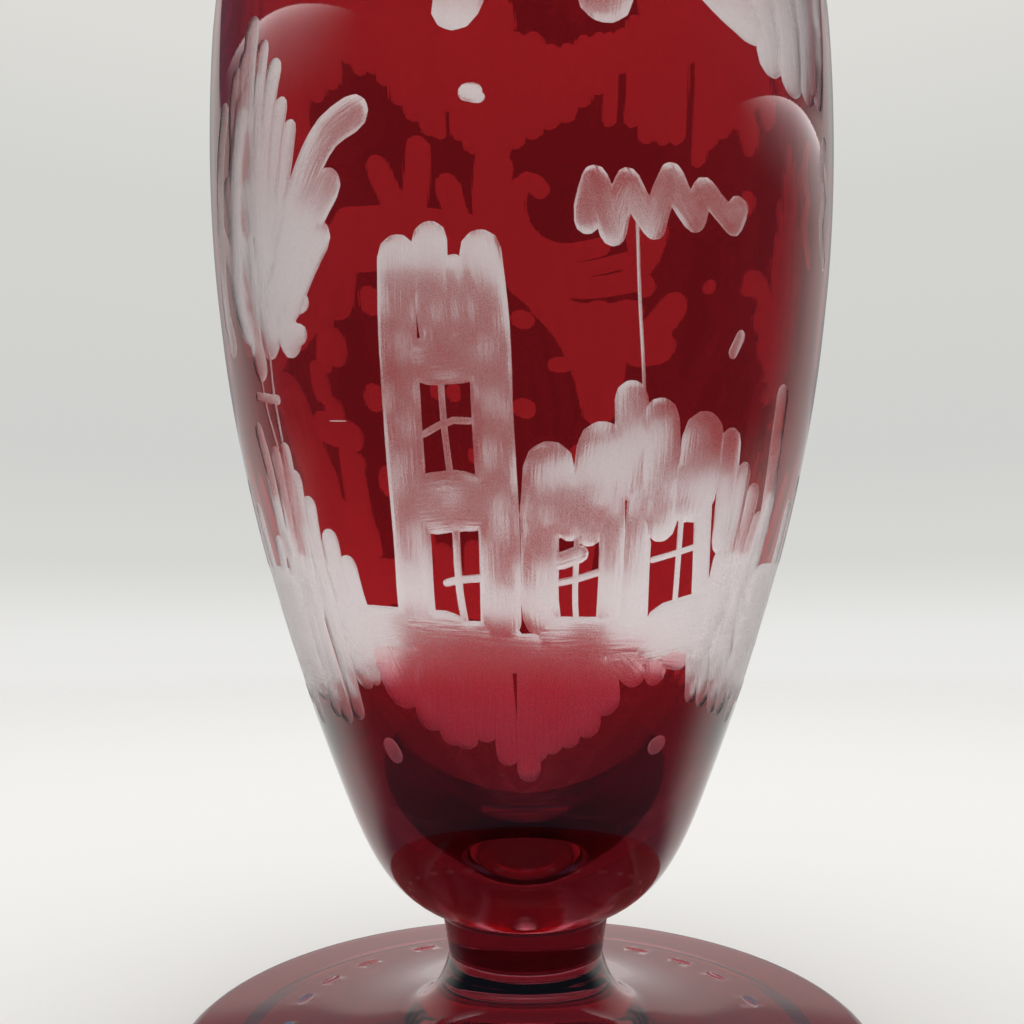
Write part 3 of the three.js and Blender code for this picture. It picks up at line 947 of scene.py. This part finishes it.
# The backdrop's colour at each sine of the elevation, and the plain light that reaches matt surfaces
BACKDROP = [
    (-0.10, (0.85, 0.845, 0.83)),
    (-0.03, (0.82, 0.815, 0.80)),
    (0.07, (0.67, 0.67, 0.65)),
    (0.16, (0.635, 0.635, 0.62)),
    (0.36, (0.65, 0.65, 0.625)),
    (0.55, (0.73, 0.72, 0.69)),
    (1.0, (0.9, 0.9, 0.88)),
]
ROOM_LIGHT = {"Color": (1, 0.99, 0.97, 1), "Strength": 0.75}
scene.world = bpy.data.worlds.new("studio")
tree = bare_nodes(scene.world)
upward = node(tree, "SeparateXYZ", {0: node(tree, "TexCoord").outputs["Generated"]}).outputs["Z"]
backdrop = node(tree, "ValToRGB", {0: number_node(tree, "MULTIPLY_ADD", upward, 0.5, 0.5)})
ramp = backdrop.color_ramp
ramp.interpolation = "EASE"
while len(ramp.elements) < len(BACKDROP):
    ramp.elements.new(0.5)
for stop, (height, colour) in zip(ramp.elements, BACKDROP):
    stop.position = (height + 1) / 2
    stop.color = (*colour, 1)
shown = node(tree, "Background", {"Color": backdrop.outputs["Color"]}).outputs[0]
light = node(tree, "Background", ROOM_LIGHT).outputs[0]
path = node(tree, "LightPath").outputs
seen = number_node(tree, "MAXIMUM", path["Is Camera Ray"], path["Is Glossy Ray"])
seen_through = number_node(tree, "MAXIMUM", seen, path["Is Transmission Ray"])
node(tree, "OutputWorld", {0: node(tree, "MixShader", {0: seen_through, 1: light, 2: shown}).outputs[0]})


def only_reflected(thing):
    """Hides a thing from everything but mirror reflections."""
    thing.visible_camera = False
    thing.visible_transmission = False
    thing.visible_diffuse = False
    thing.visible_shadow = False


# The tent: dark cloth over the table and round the camera's side, open low down behind and overhead.
# Its rows are radius and height in m. Where it opens goes by how far behind the vase a place lies (1 is
# straight behind), and by its sine of elevation as seen from halfway up the vase.
CLOTH_COLOUR, TENT_SIDES = (0.09, 0.10, 0.145, 1), 96
TENT_ROWS = [(0.02, 0.0012), (0.2, 0.0012), (0.5, 0.0012), (0.5, 0.12), (0.5, 0.25)]
TENT_ROWS += [(0.42, 0.38), (0.25, 0.47), (0.02, 0.5)]
HALFWAY_UP = (0, 0, 0.09)
OPEN_BEHIND, OPENING_TOP, OPEN_OVERHEAD = (0.04, 0.62), (0.46, 0.42), (0.74, 0.86)
ON_TABLE, PAST_FOOT, WIDER_THERE = (-0.05, -0.2), (0.038, 0.06), 0.22
STRAIGHT_BEHIND, HIGHER_THERE = (0.6, 0.85), 0.4
NET_BEHIND, NET_ABOVE, NET_SHARE = (0.75, 0.9), (0.092, 0.14), 0.58
tent_angles = np.arange(TENT_SIDES) * 2 * math.pi / TENT_SIDES
tent_points = [(r * math.cos(a), r * math.sin(a), z) for r, z in TENT_ROWS for a in tent_angles]
tent_faces = []
for low in range(0, TENT_SIDES * (len(TENT_ROWS) - 1), TENT_SIDES):
    for i in range(TENT_SIDES):
        following = (i + 1) % TENT_SIDES
        tent_faces.append((low + i, low + following, low + TENT_SIDES + following, low + TENT_SIDES + i))
tent_mesh = bpy.data.meshes.new("dark_tent")
tent_mesh.from_pydata(tent_points, [], tent_faces)
tent = bpy.data.objects.new("dark_tent", tent_mesh)
bpy.context.collection.objects.link(tent)
only_reflected(tent)
cloth = bpy.data.materials.new("tent_cloth")
tree = bare_nodes(cloth)
place = node(tree, "TexCoord").outputs["Object"]
level = vector_node(tree, "MULTIPLY", place, (1, 1, 0))
outward = node(tree, "VectorMath", {0: level}, operation="LENGTH").outputs["Value"]
backward = node(tree, "SeparateXYZ", {0: vector_node(tree, "NORMALIZE", level)}).outputs["Y"]
aim = vector_node(tree, "NORMALIZE", vector_node(tree, "SUBTRACT", place, HALFWAY_UP))
upward = node(tree, "SeparateXYZ", {0: aim}).outputs["Z"]
# Over the table the opening is wider, away from the foot
on_table = smooth(tree, upward, *ON_TABLE)
past_foot = smooth(tree, outward, *PAST_FOOT, 0, WIDER_THERE)
behind = smooth(tree, number_node(tree, "MULTIPLY_ADD", on_table, past_foot, backward), *OPEN_BEHIND)
# The opening's top is higher straight behind
higher = smooth(tree, backward, *STRAIGHT_BEHIND, 0, HIGHER_THERE)
low_down = smooth(tree, number_node(tree, "SUBTRACT", upward, higher), *OPENING_TOP)
opening = number_node(tree, "MULTIPLY", behind, low_down)
# Straight behind and a little up, a net takes part of the light
net_there = smooth(tree, backward, *NET_BEHIND, 0, NET_SHARE)
net = number_node(tree, "MULTIPLY", smooth(tree, upward, *NET_ABOVE), net_there)
netted = number_node(tree, "MULTIPLY", opening, number_node(tree, "SUBTRACT", 1, net))
let_in = number_node(tree, "MAXIMUM", netted, smooth(tree, upward, *OPEN_OVERHEAD))
dark = node(tree, "Emission", {"Color": CLOTH_COLOUR}).outputs[0]
clear_way = node(tree, "BsdfTransparent").outputs[0]
node(tree, "OutputMaterial", {0: node(tree, "MixShader", {0: let_in, 1: dark, 2: clear_way}).outputs[0]})
tent_mesh.materials.append(cloth)

# Two arched panels beside the vase, whose reflections are the bright arches on its body: their distance
# and the level that their elevations are measured from, in m, and how their light falls off
PANEL_REACH, PANEL_LEVEL, PANEL_COLUMNS, PANEL_ROWS = 0.36, 0.1, 24, 6
PANEL_COLOUR, BODY_FALL, RIM_FALL, RIM_SHARE, SIDE_FADE = (1, 0.95, 0.95, 1), 1.6, 10, 2.2, 0.4


def arch_light(name, bearings, low, high, sag, strength):
    """A curved panel, brightest along its arched top, from its bearings and elevations in degrees."""
    points, spots, faces = [], [], []
    for across in np.linspace(0, 1, PANEL_COLUMNS + 1):
        bearing = math.radians(bearings[0] + (bearings[1] - bearings[0]) * across)
        side, forth = PANEL_REACH * math.sin(bearing), -PANEL_REACH * math.cos(bearing)
        top = high - sag * (2 * across - 1) ** 2
        for up in np.linspace(0, 1, PANEL_ROWS + 1):
            rise = math.tan(math.radians(low + (top - low) * up))
            points.append((side, forth, PANEL_LEVEL + PANEL_REACH * rise))
            spots.append((across, up))
    following = PANEL_ROWS + 1
    for column in range(0, PANEL_COLUMNS * following, following):
        for k in range(column, column + PANEL_ROWS):
            faces.append((k, k + 1, k + following + 1, k + following))
    mesh = bpy.data.meshes.new(name)
    mesh.from_pydata(points, [], faces)
    lay_map(mesh, "panel", spots)
    material = bpy.data.materials.new(name)
    tree = bare_nodes(material)
    spot = node(tree, "SeparateXYZ", {0: node(tree, "TexCoord").outputs["UV"]}).outputs
    body = number_node(tree, "POWER", spot["Y"], BODY_FALL)
    rim = number_node(tree, "POWER", spot["Y"], RIM_FALL)
    upward = number_node(tree, "MULTIPLY_ADD", rim, RIM_SHARE, body)
    inward = number_node(tree, "PINGPONG", spot["X"], 0.5)
    glow = number_node(tree, "MULTIPLY", upward, smooth(tree, inward, 0, SIDE_FADE))
    power = number_node(tree, "MULTIPLY", glow, strength)
    shine = node(tree, "Emission", {"Color": PANEL_COLOUR, "Strength": power}).outputs[0]
    clear = node(tree, "BsdfTransparent").outputs[0]
    node(tree, "OutputMaterial", {0: node(tree, "AddShader", {0: shine, 1: clear}).outputs[0]})
    mesh.materials.append(material)
    thing = bpy.data.objects.new(name, mesh)
    bpy.context.collection.objects.link(thing)
    only_reflected(thing)


arch_light("left_arch", (-50, -123), low=21, high=30.7, sag=3, strength=1.15)
arch_light("right_arch", (71, 136), low=14, high=23.5, sag=3.5, strength=1.1)

# A soft box over the vase and a little behind it, in m and W
SOFT_BOX_PLACE, SOFT_BOX_SIZE, SOFT_BOX_POWER = (0, 0.05, 0.75), (0.6, 0.5), 2.2
soft_box = bpy.data.lights.new("top_light", "AREA")
soft_box.shape = "RECTANGLE"
soft_box.size, soft_box.size_y = SOFT_BOX_SIZE
soft_box.energy = SOFT_BOX_POWER
top_light = bpy.data.objects.new("top_light", soft_box)
top_light.location = SOFT_BOX_PLACE
top_light.rotation_euler = (-Vector(SOFT_BOX_PLACE)).to_track_quat("-Z", "Y").to_euler()
bpy.context.collection.objects.link(top_light)
